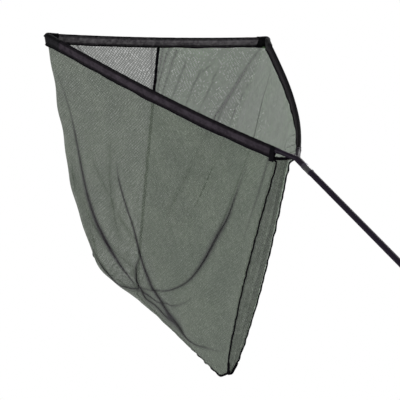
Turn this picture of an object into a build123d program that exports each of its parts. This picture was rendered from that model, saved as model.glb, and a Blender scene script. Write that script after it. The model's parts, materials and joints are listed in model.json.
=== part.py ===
from build123d import *
import math
import os

# Triangular carp landing net, held out level on a two-section pole.
# +X runs from the hand grip to the net head, +Y to the left, +Z up, in millimetres.
# The origin is the middle of the foam grip, on the pole's axis.

# ---- driving dimensions ------------------------------------------------------------------
POLE_LENGTH = 1800.0
BUTT_X = -165.0
GRIP_LENGTH = 280.0
GRIP_R = 14.0
BUTT_FLANGE = 4.0
BUTT_R = 13.5
BUTT_PLUG = 22.0
BUTT_ROUNDING = 2.5
GRIP_RING_LENGTH = 9.0
GRIP_RING_R = 13.2
LOWER_TUBE_R = 11.0
UPPER_TUBE_R = 9.0
TUBE_WALL = 1.0
JOINT_X = 735.0
SPIGOT_PLUG = 95.0
SPIGOT_FIT = 0.05
SPIGOT_SHOULDER = 8.0
SPIGOT_TENON = 60.0
SPIGOT_BORE_R = 5.0
JOINT_FERRULE_LENGTH = 48.0
JOINT_FERRULE_R = 12.4
WHIPPING_PLACES = (3.0, 22.0)
WHIPPING_LENGTH = 5.0
WHIPPING_R = 9.5
TOP_FERRULE_R = 10.0
TOP_FERRULE_LENGTH = 28.0
TRIM_R = 9.7
TRIM_LENGTH = 4.0
INSERT_FLANGE = 3.0
INSERT_R = 10.2
INSERT_DEPTH = 25.0
STUD_R = 4.76
STUD_FIT = 0.06
STUD_REACH = 14.0
STUD_SEAT = 26.0
COLLAR_LENGTH = 11.0
COLLAR_R = 10.4
FLUTES = 24
FLUTE_R = 0.95
FLUTE_OFFSET = 0.5
FLUTE_MARGIN = 2.0
GAP = 0.3

ARM_LENGTH = 1067.0
ARM_R = 4.5
ARM_HALF_ANGLE = 29.9
ARM_BOW = 12.9
BOW_SHARES = (5 / 9, 3 / 9, 1 / 9)
RIM_DROOP = 3.07
SOCKET_LENGTH = 75.0
SOCKET_R = 7.6
SOCKET_RIM_R = 8.7
SOCKET_RIM_LENGTH = 9.0
SOCKET_BORE_START = 24.0
SOCKET_FIT = 0.05
WEB_SHARE = 0.62
WEB_NOTCH = 9.0
WEB_HALF = 3.2
STEM_R = 9.6
STEM_LENGTH = 42.0
TIP_CAP_R = 6.0
TIP_CAP_LENGTH = 30.0
TIP_CAP_BORE = 18.0
ROD_START = 25.0
CORD_R = 1.75
CORD_SAG = 8.0
CORD_EYE_FIT = 0.8
CORD_SLACK = 0.6
CORD_SLEEVE_GAP = 3.0
KNOT_OFFSET = 10.5
KNOT_R = 3.6

SLEEVE_R = 6.6
SLEEVE_DROP = 27.0
SLEEVE_EDGE_R = 2.2
SLEEVE_LINING_R = 5.2
POCKET_LENGTH = 58.0
POCKET_GROWTH = 1.4
POCKET_CORD_GROWTH = 1.2
POCKET_CORNER_R = 10.5
POCKET_ROUNDING = 3.0
POCKET_BORE_R = 4.6
HEM_LENGTH = 9.0
HEM_GROWTH = 1.2

NETTING = 1.6
RIB = 2.2
TAPE = 3.0
TAPE_WIDTH = 7.0
SEAM_GAP = 2.7
SEAM_INSIDE = 4.0
SEAM_OUTSIDE = 6.0
BINDING_START = 0.925
BINDING_GAP = 6.5
BINDING_OUTSIDE = 12.5
BINDING_WIDTH = 10.0
GUSSET_X = 80.0
THROAT_SIZE = (5.0, 78.0, 9.0)

# ---- places worked out from them ---------------------------------------------------------
POLE_TOP_X = BUTT_X + POLE_LENGTH
COLLAR_X = POLE_TOP_X + GAP
STEM_X = COLLAR_X + COLLAR_LENGTH + GAP
APEX_X = STEM_X + STEM_LENGTH
BOW_LENGTH = (ARM_LENGTH - SOCKET_LENGTH) / len(BOW_SHARES)

os.makedirs("parts", exist_ok=True)


def save(node, shape):
    """Writes one node's solids to its STEP file."""
    export_step(shape, f"parts/{node}.step")


def along_x(x0, x1, radius, hole=0.0):
    """A round bar or tube on the pole's axis, from x0 to x1."""
    plane = Plane(origin=(x0, 0, 0), x_dir=(0, 1, 0), z_dir=(1, 0, 0))
    disc = Circle(radius)
    if hole:
        disc -= Circle(hole)
    return extrude(plane * disc, x1 - x0)


def on_rim(shape):
    """Moves a shape from the rim's own frame, where the arms lie at z = 0, to its place."""
    return Pos(APEX_X, 0, 0) * Rot(0, RIM_DROOP, 0) * shape


def mirrored(shape):
    """The same shape on the right-hand side."""
    return mirror(shape, Plane.XZ)


def rim_point(x, y, z):
    """A point of the rim's frame, measured from the arms' apex, in the object's frame."""
    droop = math.radians(RIM_DROOP)
    return Vector(
        APEX_X + x * math.cos(droop) + z * math.sin(droop),
        y,
        z * math.cos(droop) - x * math.sin(droop),
    )


# ---- the left arm's line: straight in its socket, then three arcs that flatten out -------
def arm_stations():
    """Points and headings, in the rim's plane, where the arm's stretches meet."""
    heading = math.radians(ARM_HALF_ANGLE)
    x = SOCKET_LENGTH * math.cos(heading)
    y = SOCKET_LENGTH * math.sin(heading)
    stations = [(x, y, heading)]
    for share in BOW_SHARES:
        turn = math.radians(ARM_BOW) * share
        chord = BOW_LENGTH * math.sin(turn / 2) / (turn / 2)
        x += chord * math.cos(heading - turn / 2)
        y += chord * math.sin(heading - turn / 2)
        heading -= turn
        stations.append((x, y, heading))
    return stations


STATIONS = arm_stations()
TIP_X, TIP_Y, TIP_HEADING = STATIONS[-1]


def arm_at(distance):
    """The arm's point and heading at a distance from the apex."""
    if distance <= SOCKET_LENGTH:
        heading = math.radians(ARM_HALF_ANGLE)
        return distance * math.cos(heading), distance * math.sin(heading), heading
    left = distance - SOCKET_LENGTH
    for (x, y, heading), share in zip(STATIONS, BOW_SHARES):
        turn = math.radians(ARM_BOW) * share
        if left <= BOW_LENGTH + 1e-6:
            part = turn * left / BOW_LENGTH
            chord = left if part < 1e-9 else left * math.sin(part / 2) / (part / 2)
            middle = heading - part / 2
            return x + chord * math.cos(middle), y + chord * math.sin(middle), heading - part
        left -= BOW_LENGTH
    return TIP_X, TIP_Y, TIP_HEADING


def arm_line(start, end):
    """The arm's path between two distances from the apex, as lines and tangent arcs."""
    bends = [SOCKET_LENGTH + BOW_LENGTH * i for i in range(len(BOW_SHARES))]
    stops = [start] + [b for b in bends if start < b < end] + [end]
    edges = []
    for a, b in zip(stops, stops[1:]):
        xa, ya, _ = arm_at(a)
        xb, yb, _ = arm_at(b)
        if b <= SOCKET_LENGTH:
            edges.append(Edge.make_line((xa, ya), (xb, yb)))
        else:
            xm, ym, _ = arm_at((a + b) / 2)
            edges.append(Edge.make_three_point_arc((xa, ya), (xm, ym), (xb, yb)))
    return Wire(edges)


def section_at(distance):
    """The plane square to the arm, with its x axis outwards and its y axis up."""
    x, y, heading = arm_at(distance)
    forward = (math.cos(heading), math.sin(heading), 0)
    outward = (-math.sin(heading), math.cos(heading), 0)
    return Plane(origin=(x, y, 0), x_dir=outward, z_dir=forward)


def sleeve_section(growth=0.0, lining=SLEEVE_LINING_R):
    """A flattened cloth tube: round over the rod, and thin at its hanging lower edge."""
    top = Circle(SLEEVE_R + growth)
    bottom = Pos(0, -SLEEVE_DROP) * Circle(SLEEVE_EDGE_R + growth)
    face = make_hull(top.edges() + bottom.edges())
    return face - Circle(lining)


# ---- pole --------------------------------------------------------------------------------
def make_pole():
    grip_x = -GRIP_LENGTH / 2
    tube_start = BUTT_X + BUTT_FLANGE
    save("lower_tube", along_x(tube_start, JOINT_X, LOWER_TUBE_R, LOWER_TUBE_R - TUBE_WALL))

    cap = along_x(BUTT_X, tube_start, BUTT_R)
    cap = fillet(cap.edges().sort_by(Axis.X)[0], BUTT_ROUNDING)
    cap += along_x(tube_start, tube_start + BUTT_PLUG, LOWER_TUBE_R - TUBE_WALL)
    cap += along_x(tube_start, grip_x, BUTT_R, LOWER_TUBE_R)
    save("butt_cap", cap)

    grip = along_x(grip_x, -grip_x, GRIP_R, LOWER_TUBE_R)
    save("foam_grip", grip)

    ring = along_x(-grip_x, -grip_x + GRIP_RING_LENGTH, GRIP_RING_R, LOWER_TUBE_R)
    ring = chamfer(ring.edges().filter_by(GeomType.CIRCLE).sort_by(Axis.X)[-1], 1.0)
    save("grip_ring", ring)

    ferrule = along_x(JOINT_X - JOINT_FERRULE_LENGTH, JOINT_X, JOINT_FERRULE_R, LOWER_TUBE_R)
    ferrule = chamfer(ferrule.edges().sort_by(Axis.X)[-1], 0.5)
    save("joint_ferrule", ferrule)

    plug_r = LOWER_TUBE_R - TUBE_WALL - SPIGOT_FIT
    shoulder_x = JOINT_X + GAP
    upper_start = shoulder_x + SPIGOT_SHOULDER
    spigot = along_x(JOINT_X - SPIGOT_PLUG, shoulder_x, plug_r, SPIGOT_BORE_R)
    spigot += along_x(shoulder_x, upper_start, LOWER_TUBE_R, SPIGOT_BORE_R)
    spigot += along_x(JOINT_X, JOINT_X + SPIGOT_TENON, UPPER_TUBE_R - TUBE_WALL, SPIGOT_BORE_R)
    spigot = chamfer(spigot.edges().sort_by(Axis.X)[0], 0.4)
    save("joint_spigot", spigot)

    upper_end = POLE_TOP_X - INSERT_FLANGE
    save("upper_tube", along_x(upper_start, upper_end, UPPER_TUBE_R, UPPER_TUBE_R - TUBE_WALL))

    whipping = Part()
    for place in WHIPPING_PLACES:
        x = upper_start + place
        whipping += along_x(x, x + WHIPPING_LENGTH, WHIPPING_R, UPPER_TUBE_R)
    save("upper_whipping", whipping)

    trim_x = upper_end - TOP_FERRULE_LENGTH
    save("top_ferrule", along_x(trim_x, upper_end, TOP_FERRULE_R, UPPER_TUBE_R))
    save("ferrule_trim", along_x(trim_x - TRIM_LENGTH, trim_x, TRIM_R, UPPER_TUBE_R))

    insert_hole = STUD_R + STUD_FIT
    insert = along_x(upper_end, POLE_TOP_X, INSERT_R, insert_hole)
    insert += along_x(POLE_TOP_X - INSERT_DEPTH, upper_end, UPPER_TUBE_R - TUBE_WALL, insert_hole)
    insert = chamfer(insert.edges().sort_by(Axis.X)[-1], 0.6)
    save("threaded_insert", insert)


# ---- lock collar and spreader block ------------------------------------------------------
def make_collar():
    collar = along_x(COLLAR_X, COLLAR_X + COLLAR_LENGTH, COLLAR_R, STUD_R + STUD_FIT)
    middle_x = COLLAR_X + COLLAR_LENGTH / 2
    for i in range(FLUTES):
        flute = Rot(360 * i / FLUTES, 0, 0) * Pos(middle_x, 0, COLLAR_R + FLUTE_OFFSET)
        collar -= flute * Rot(0, 90, 0) * Cylinder(FLUTE_R, COLLAR_LENGTH - 2 * FLUTE_MARGIN)
    save("lock_collar", collar)


def make_block():
    """The moulded V: a stem on the pole's axis, a socket for each arm and a web between."""
    x, y, heading = arm_at(SOCKET_LENGTH)
    sockets = [Plane(origin=(0, 0, 0), z_dir=(x, side * y, 0)) for side in (1, -1)]
    body = Part()
    for plane in sockets:
        body += extrude(plane * Circle(SOCKET_R), SOCKET_LENGTH)
        rim = plane.offset(SOCKET_LENGTH - SOCKET_RIM_LENGTH) * Circle(SOCKET_RIM_R)
        body += extrude(rim, SOCKET_RIM_LENGTH)
    reach = SOCKET_LENGTH * WEB_SHARE
    half = reach * math.sin(heading)
    front = reach * math.cos(heading)
    web = Polyline((0, 0), (front, half), (front - WEB_NOTCH, 0), (front, -half), close=True)
    body += extrude(make_face(web), WEB_HALF, both=True)
    body = on_rim(body)
    body += along_x(STEM_X, APEX_X, STEM_R)
    body += Pos(APEX_X, 0, 0) * Sphere(STEM_R)
    for plane in sockets:
        bore = extrude(plane.offset(SOCKET_BORE_START) * Circle(ARM_R + SOCKET_FIT), SOCKET_LENGTH)
        body -= on_rim(bore)
    body -= along_x(STEM_X, STEM_X + STUD_SEAT, STUD_R)
    body = chamfer(body.edges().filter_by(GeomType.CIRCLE).sort_by(Axis.X)[:1], 1.0)
    save("spreader_block", body)

    stud = along_x(COLLAR_X - STUD_REACH, STEM_X + STUD_SEAT, STUD_R)
    stud = chamfer(stud.edges().sort_by(Axis.X)[0], 0.8)
    save("threaded_stud", stud)


# ---- arms, tip caps and cord -------------------------------------------------------------
CORD_SPAN = TIP_Y + KNOT_OFFSET
CORD_BEND_R = (CORD_SPAN**2 + CORD_SAG**2) / (2 * CORD_SAG)


def cord_height(y):
    """The height of the cord, which hangs in an arc between its two knots."""
    return CORD_BEND_R - CORD_SAG - math.sqrt(CORD_BEND_R**2 - y**2)


def hung_on_cord(section, half):
    """A section carried along the cord's arc between two points each side of the middle."""
    swing = math.asin(half / CORD_BEND_R)
    along = (0, -math.cos(swing), -math.sin(swing))
    plane = Plane(origin=(TIP_X, half, cord_height(half)), x_dir=(1, 0, 0), z_dir=along)
    centre = Axis((TIP_X, 0, CORD_BEND_R - CORD_SAG), (-1, 0, 0))
    return revolve(plane * section, centre, math.degrees(2 * swing))


def make_arms():
    rod_end = ARM_LENGTH - TIP_CAP_LENGTH + TIP_CAP_BORE + TIP_CAP_R
    rod = sweep(section_at(ROD_START) * Circle(ARM_R), path=arm_line(ROD_START, rod_end))
    left = {"left_arm": rod}

    cap_plane = section_at(rod_end - TIP_CAP_BORE)
    cap = extrude(cap_plane * Circle(TIP_CAP_R), TIP_CAP_LENGTH)
    cap -= extrude(cap_plane * Circle(ARM_R), TIP_CAP_BORE)
    eye = Pos(TIP_X, TIP_Y, 0) * Rot(90, 0, 0) * Cylinder(CORD_R + CORD_EYE_FIT, 40)
    left["left_tip_cap"] = cap - eye

    for node, shape in left.items():
        save(node, on_rim(shape))
        save(node.replace("left", "right"), mirrored(on_rim(shape)))

    cord = hung_on_cord(Circle(CORD_R), CORD_SPAN)
    for side in (1, -1):
        cord += Pos(TIP_X, side * CORD_SPAN, 0) * Sphere(KNOT_R)
    save("front_cord", on_rim(cord))


# ---- cloth sleeves, corner pockets and hems ----------------------------------------------
SLEEVE_START = SOCKET_LENGTH + 2.0
SLEEVE_END = ARM_LENGTH - POCKET_LENGTH


def make_sleeves():
    hem_end = SLEEVE_START + HEM_LENGTH
    sleeve = sweep(section_at(hem_end) * sleeve_section(), path=arm_line(hem_end, SLEEVE_END))
    hem = extrude(section_at(SLEEVE_START) * sleeve_section(HEM_GROWTH), HEM_LENGTH - GAP)
    for node, shape in {"left_arm_sleeve": sleeve, "left_sleeve_hem": hem}.items():
        save(node, on_rim(shape))
        save(node.replace("left", "right"), mirrored(on_rim(shape)))

    half = TIP_Y - POCKET_LENGTH - CORD_SLEEVE_GAP
    cord_sleeve = hung_on_cord(sleeve_section(lining=CORD_R + CORD_SLACK), half)
    save("front_cord_sleeve", on_rim(cord_sleeve))


def make_pockets():
    """Doubled cloth over each arm tip, open inside for the cap and the cord's knot."""
    arm_part = extrude(section_at(SLEEVE_END) * sleeve_section(POCKET_GROWTH), POCKET_LENGTH)
    plane = Plane(origin=(TIP_X, TIP_Y, 0), x_dir=(1, 0, 0), z_dir=(0, -1, 0))
    cord_section = sleeve_section(POCKET_CORD_GROWTH, POCKET_BORE_R)
    cord_part = extrude(plane * cord_section, POCKET_LENGTH)
    corner_height = SLEEVE_DROP + 3 + POCKET_CORNER_R - 2
    corner = extrude(Plane.XY.offset(-SLEEVE_DROP - 3) * Circle(POCKET_CORNER_R), corner_height)
    corner = fillet(corner.edges().sort_by(Axis.Z)[-1], POCKET_ROUNDING)
    pocket = arm_part + cord_part + Pos(TIP_X, TIP_Y + 3, 0) * corner
    cavity = extrude(section_at(SLEEVE_END - 1) * Circle(SLEEVE_LINING_R), POCKET_LENGTH + 1)
    cap_room = extrude(section_at(ARM_LENGTH - 26) * Circle(TIP_CAP_R + 0.4), 32.6)
    cord_room = Cylinder(POCKET_BORE_R, POCKET_LENGTH + 15)
    cavity += cap_room + Pos(TIP_X, TIP_Y - POCKET_LENGTH / 2 + 7.5, 0) * Rot(90, 0, 0) * cord_room
    pocket = on_rim(pocket - cavity)
    save("left_corner_pocket", pocket)
    save("right_corner_pocket", mirrored(pocket))


# ---- net bag -----------------------------------------------------------------------------
# Each half of the bag is a side panel under an arm and a front panel under the cord. A panel
# is a run of hanging lines, each a cubic curve from the rim down to the seam in the middle.
NET_TOP = -SLEEVE_DROP - SLEEVE_EDGE_R - POCKET_GROWTH - 1.0
KNOT = (787.0, -873.0)
FRONT_LOW = (786.0, -908.0)
REAR_LOW = (132.0, -832.0)
REAR_CORNER = (87.0, -785.0)
FRONT_SHARE = 0.045
# Where the hanging lines' two control points lie, as shares of the way from the rim to the
# bottom in x, y and z: under the arms, and at the front seam.
ARM_CONTROLS = ((0.28, 0.225, 0.36), (0.43, 0.575, 0.963))
SEAM_CONTROLS = ((0.28, 0.225, 0.31), (0.72, 0.575, 0.77))
# The cloth swells out below the arm's tip, and sags in a low lobe beside the knot. Shares run
# along the rim from the rear seam to the front seam, and down a hanging line.
TIP_SHARE = 0.709
CORNER_BULGE = (3.7, 17.4)
CORNER_REACH = 0.10
LOBE_AT = 0.7465
LOBE_REACH = 0.085
LOBE_DEPTH = 0.783
LOBE_HEIGHT = 0.09
LOBE_DROP = 14.8
LOBE_OUT = 4.4
LOBE_CONTROL = (0.0, -0.022, 0.01)
EDGE_SHARE = 0.06
REAR_BLEND = 0.125
# Half of the gusset's width at shares of the way down to the rear corner.
GUSSET_WIDTHS = (
    (0.00, 25.0),
    (0.07, 23.5),
    (0.16, 26.0),
    (0.28, 29.5),
    (0.42, 31.5),
    (0.55, 32.5),
    (0.66, 31.5),
    (0.76, 27.5),
    (0.86, 24.0),
    (0.93, 19.0),
    (0.98, 11.0),
    (1.02, 3.5),
    (1.06, 0.0),
)


def in_middle(x, z):
    """A point of the bag's middle plane, with x measured from the arms' apex."""
    return (APEX_X + x, 0, z)


BOTTOM_LINE = FilletPolyline(
    in_middle(*KNOT),
    in_middle(*FRONT_LOW),
    in_middle(*REAR_LOW),
    in_middle(*REAR_CORNER),
    radius=17,
)


def mix(a, b, share):
    return a + (b - a) * share


def half_width(z):
    """Half of the rear gusset's width at a height: gathered under the block, then fuller."""
    down = (z - NET_TOP) / (REAR_CORNER[1] - NET_TOP)
    for (above, wide), (below, next_wide) in zip(GUSSET_WIDTHS, GUSSET_WIDTHS[1:]):
        if down <= below:
            share = max(0.0, (down - above) / (below - above))
            return max(SEAM_GAP, mix(wide, next_wide, share))
    return SEAM_GAP


def smooth(x):
    """An even rise from 0 to 1 as x goes from 0 to 1."""
    x = min(1.0, max(0.0, x))
    return x * x * (3 - 2 * x)


def bell(x, middle, reach):
    """A smooth hump of height 1 at the middle."""
    return math.exp(-(((x - middle) / reach) ** 2))


def hanging_line(run, front, top, bottom, count=13):
    """Points down one line of the cloth, from the rim to the bottom. The run is the share along
    the rim, and front goes from 0 at the arm's tip to 1 at the front seam."""
    lobe = bell(run, LOBE_AT, LOBE_REACH)
    span = bottom - top
    upper, lower = (
        [mix(arm, seam, front) for arm, seam in zip(*shares)]
        for shares in zip(ARM_CONTROLS, SEAM_CONTROLS)
    )
    lower = [share + lobe * change for share, change in zip(lower, LOBE_CONTROL)]
    line = Edge.make_bezier(
        top,
        top + Vector(span.X * upper[0], span.Y * upper[1], span.Z * upper[2]),
        top + Vector(span.X * lower[0], span.Y * lower[1], span.Z * lower[2]),
        bottom,
    )
    corner = bell(run, TIP_SHARE, CORNER_REACH)
    points = []
    for i in range(count):
        down = i / (count - 1)
        bulge = corner * math.sin(math.pi * down**1.15) ** 0.8 if 0 < i < count - 1 else 0.0
        low = lobe * bell(down, LOBE_DEPTH, LOBE_HEIGHT) * smooth((1 - down) / EDGE_SHARE)
        forward = CORNER_BULGE[0] * bulge
        out = CORNER_BULGE[1] * bulge + LOBE_OUT * low
        points.append(line.position_at(down) + Vector(forward, out, -LOBE_DROP * low))
    return points


def side_line(share):
    """The hanging line at a share of the way from the rear seam (0) to the arm's tip (1)."""
    x, y, _ = arm_at(mix(SLEEVE_START + 20, ARM_LENGTH - 4, share))
    top = rim_point(x, y, NET_TOP)
    bottom = BOTTOM_LINE.position_at(mix(1.0, FRONT_SHARE, share))
    bottom = Vector(bottom.X, SEAM_GAP, bottom.Z)
    line = hanging_line(TIP_SHARE * share, 0.0, top, bottom)
    points = []
    for i, point in enumerate(line):
        near_rear = (1 - share) ** 6 * smooth(i / (len(line) - 1) / REAR_BLEND)
        points.append(Vector(point.X, mix(point.Y, half_width(point.Z), near_rear), point.Z))
    return points


def front_line(share):
    """The hanging line at a share of the way from the arm's tip (0) to the middle (1)."""
    y = mix(TIP_Y - 4, SEAM_GAP, share)
    top = rim_point(TIP_X, y, NET_TOP + cord_height(y))
    bottom = BOTTOM_LINE.position_at(FRONT_SHARE * (1 - share))
    bottom = Vector(bottom.X, SEAM_GAP, bottom.Z)
    return hanging_line(mix(TIP_SHARE, 1.0, share), share, top, bottom)


def cloth(rows, outward):
    """A sheet through rows of points, thickened to its outer side."""
    face = Face.make_surface_from_array_of_points(rows, tol=0.05)
    return Solid.thicken(face, NETTING, normal_override=outward)


def make_netting():
    steps = 10
    side_rows = [side_line(i / steps) for i in range(steps + 1)]
    front_rows = [front_line(mix(0.03, 1, i / steps)) for i in range(steps + 1)]
    panels = {
        "netting_side_left": cloth(side_rows, (0, 1, 0)),
        "netting_front_left": cloth(front_rows, (1, 0, 0)),
    }
    for node, shape in panels.items():
        save(node, shape)
        save(node.replace("left", "right"), mirrored(shape))


def make_gusset():
    top = NET_TOP - 12.0
    foot = REAR_CORNER[1] + 5
    heights = [mix(top, foot, i / 12) for i in range(13)]
    left = [(half_width(z) - SEAM_GAP, z) for z in heights]
    right = [(-y, z) for y, z in reversed(left)]
    edge = Spline(*left) + Line(left[-1], right[0]) + Spline(*right) + Line(right[-1], left[0])
    plane = Plane(origin=(APEX_X + GUSSET_X, 0, 0), x_dir=(0, 1, 0), z_dir=(1, 0, 0))
    save("rear_gusset", extrude(plane * make_face(edge), -NETTING))

    inner = [(half_width(z) - TAPE_WIDTH / 2, z) for z in heights]
    outer = [(half_width(z) + TAPE_WIDTH / 2, z) for z in reversed(heights)]
    edge = Spline(*inner) + Line(inner[-1], outer[0]) + Spline(*outer) + Line(outer[-1], inner[0])
    tape_plane = plane.offset(-NETTING - GAP)
    tape = extrude(tape_plane * make_face(edge), -TAPE)
    save("rear_seam_left", tape)
    save("rear_seam_right", mirrored(tape))

    hem = Pos(APEX_X + GUSSET_X - 1, 0, NET_TOP - 6) * Box(*THROAT_SIZE)
    save("throat_hem", hem)


def rib(line, start, end, inside, outside, thickness, count=24):
    """A flat rib in the middle plane along part of a line, from inside it to outside it."""
    inner = []
    outer = []
    for i in range(count):
        share = mix(start, end, i / (count - 1))
        point = line.position_at(share)
        along = line.tangent_at(share)
        away = Vector(-along.Z, 0, along.X)
        inner.append(point - away * inside)
        outer.append(point + away * outside)
    edge = Polyline(*inner, *reversed(outer), close=True)
    return extrude(make_face(edge), thickness / 2, both=True)


def make_seams():
    front_seam = Spline(*[Vector(p.X, 0, p.Z) for p in front_line(1.0)])
    save("front_seam", rib(front_seam, 0.004, 0.975, SEAM_INSIDE, SEAM_OUTSIDE, RIB))
    save("bottom_seam", rib(BOTTOM_LINE, 0.02, 0.9, SEAM_INSIDE, SEAM_OUTSIDE, RIB))
    binding_inside = -SEAM_GAP - BINDING_GAP
    binding = rib(BOTTOM_LINE, BINDING_START, 0.995, binding_inside, BINDING_OUTSIDE, BINDING_WIDTH)
    save("rear_corner_binding", binding)

    fin = [front_seam.position_at(share) for share in (0.9, 0.96, 0.995)]
    away = Vector(1, 0, -0.25).normalized()
    edge = Polyline(fin[0] + away * 7, fin[1] + away * 27, fin[2] + away * 12, close=True)
    save("gather_flap", extrude(make_face(edge), RIB / 2, both=True))


make_pole()
make_collar()
make_block()
make_arms()
make_sleeves()
make_pockets()
make_netting()
make_gusset()
make_seams()
print("arm tip", round(TIP_X, 1), round(TIP_Y, 1), "mouth width", round(2 * TIP_Y, 1))
print("apex x", round(APEX_X, 1), "bottom seam", round(BOTTOM_LINE.length, 1))
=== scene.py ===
import json
import math

import bpy
import numpy as np
from mathutils import Matrix, Vector


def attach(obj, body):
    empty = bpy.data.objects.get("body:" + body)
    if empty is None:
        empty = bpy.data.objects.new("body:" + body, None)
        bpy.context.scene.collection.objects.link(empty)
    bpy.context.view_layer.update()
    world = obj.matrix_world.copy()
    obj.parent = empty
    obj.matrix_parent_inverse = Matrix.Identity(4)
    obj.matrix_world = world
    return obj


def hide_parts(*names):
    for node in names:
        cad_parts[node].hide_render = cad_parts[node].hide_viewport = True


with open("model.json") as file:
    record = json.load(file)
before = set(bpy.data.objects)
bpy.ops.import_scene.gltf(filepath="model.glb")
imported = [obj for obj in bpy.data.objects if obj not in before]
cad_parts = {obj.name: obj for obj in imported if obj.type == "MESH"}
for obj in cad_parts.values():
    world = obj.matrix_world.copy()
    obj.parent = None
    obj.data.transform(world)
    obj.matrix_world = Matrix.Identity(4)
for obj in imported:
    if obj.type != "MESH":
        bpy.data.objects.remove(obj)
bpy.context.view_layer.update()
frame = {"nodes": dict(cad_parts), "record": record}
HEAD = "net_head"

# ---- sizes of the net head, in metres, as in the CAD model ---------------------------------
# The rim's frame has its origin where the two arms' lines meet, and droops towards the cord.
APEX_X = 1.6886
DROOP = math.radians(3.07)
ARM_LENGTH = 1.067
ARM_HALF_ANGLE = math.radians(29.9)
ARM_BOW = math.radians(12.9)
BOW_SHARES = (5 / 9, 3 / 9, 1 / 9)
SOCKET_LENGTH = 0.075
BOW_LENGTH = (ARM_LENGTH - SOCKET_LENGTH) / 3
SLEEVE_START = 0.077
SLEEVE_END = 1.009
GUSSET_X = 0.080
NET_TOP = -0.0316
NET_EDGE = -0.0255
NET_SETBACK = 0.006
NET_CORNER_GAP = 0.004
CORD_SAG = 0.008


def mix(a, b, share):
    return a + (b - a) * share


def smooth(x):
    x = np.clip(x, 0, 1)
    return x * x * (3 - 2 * x)


def rim(x, y, z):
    """Points of the rim's frame, in the object's frame."""
    x, y, z = np.broadcast_arrays(x, y, z)
    c, s = math.cos(DROOP), math.sin(DROOP)
    return np.stack([APEX_X + x * c + z * s, y, z * c - x * s], -1)


def arm_at(distance):
    """The left arm's x, y and heading at distances from the apex."""
    distance = np.atleast_1d(np.asarray(distance, float))
    heading = np.full_like(distance, ARM_HALF_ANGLE)
    first = np.minimum(distance, SOCKET_LENGTH)
    x = first * math.cos(ARM_HALF_ANGLE)
    y = first * math.sin(ARM_HALF_ANGLE)
    start = SOCKET_LENGTH
    for share in BOW_SHARES:
        part = np.clip(distance - start, 0, BOW_LENGTH)
        turn = ARM_BOW * share * part / BOW_LENGTH
        half = np.maximum(turn / 2, 1e-9)
        chord = part * np.sin(half) / half
        x = x + chord * np.cos(heading - half)
        y = y + chord * np.sin(heading - half)
        heading = heading - turn
        start += BOW_LENGTH
    return x, y, heading


TIP_X, TIP_Y = (float(v[0]) for v in arm_at(ARM_LENGTH)[:2])


def cord_height(y):
    """How far the cord hangs below the arm tips' line."""
    return -CORD_SAG * (1 - (np.asarray(y) / TIP_Y) ** 2)


def ripple(seed, *coords, scale=1.0, octaves=2):
    """Smooth repeatable noise from -1 to 1, a few sine waves of unlike directions."""
    rng = np.random.default_rng(seed)
    total = 0
    weight = 1.0
    norm = 0.0
    for octave in range(octaves):
        for _ in range(4):
            k = rng.normal(size=len(coords))
            k /= np.linalg.norm(k)
            freq = 2 * math.pi / scale * 2**octave * rng.uniform(0.7, 1.3)
            phase = rng.uniform(0, 2 * math.pi)
            total = total + weight * np.sin(sum(c * q for c, q in zip(coords, k)) * freq + phase)
            norm += weight
        weight *= 0.5
    return total / norm * 1.6


# ---- meshes --------------------------------------------------------------------------------
def piece(name, verts, faces, material, body=HEAD, replaces=(), uv=None, attributes=None, slot=None):
    """A smooth mesh object that rides on a body."""
    mesh = bpy.data.meshes.new(name)
    mesh.from_pydata(np.asarray(verts, float).reshape(-1, 3).tolist(), [], faces)
    mesh.update()
    mesh.shade_smooth()
    if uv is not None:
        layer = mesh.uv_layers.new(name="cut")
        flat = np.asarray(uv, float).reshape(-1, 2)
        loops = np.zeros(len(mesh.loops), np.int32)
        mesh.loops.foreach_get("vertex_index", loops)
        layer.data.foreach_set("uv", flat[loops].astype(np.float32).ravel())
    for key, values in (attributes or {}).items():
        mesh.attributes.new(key, "FLOAT", "POINT").data.foreach_set(
            "value", np.asarray(values, np.float32).ravel()
        )
    mesh.materials.append(material)
    obj = bpy.data.objects.new(name, mesh)
    bpy.context.scene.collection.objects.link(obj)
    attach(obj, body)
    if replaces:
        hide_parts(*replaces)
    return obj


def grid_faces(rows, columns, closed=False, flip=False):
    """Quads of a grid of rows by columns of points; closed joins the last column to the first."""
    faces = []
    last = columns if closed else columns - 1
    for i in range(rows - 1):
        for j in range(last):
            k = (j + 1) % columns
            quad = (i * columns + j, i * columns + k, (i + 1) * columns + k, (i + 1) * columns + j)
            faces.append(quad[::-1] if flip else quad)
    return faces


def arc_uv(points):
    """The cut's own coordinates, in metres: lengths run along the rows and down the columns."""
    across = np.linalg.norm(np.diff(points, axis=1), axis=2)
    down = np.linalg.norm(np.diff(points, axis=0), axis=2)
    u = np.concatenate([np.zeros((points.shape[0], 1)), np.cumsum(across, 1)], 1)
    v = np.concatenate([np.zeros((1, points.shape[1])), np.cumsum(down, 0)], 0)
    return np.stack([u - u.mean(1, keepdims=True), v], -1)


def frames_along(path, up=(0, 0, 1)):
    """Unit tangent, side and top directions at each point of a path."""
    path = np.asarray(path, float)
    tangent = np.gradient(path, axis=0)
    tangent /= np.linalg.norm(tangent, axis=1, keepdims=True)
    side = np.cross(tangent, np.asarray(up, float))
    side /= np.linalg.norm(side, axis=1, keepdims=True)
    top = np.cross(side, tangent)
    return tangent, side, top


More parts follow.
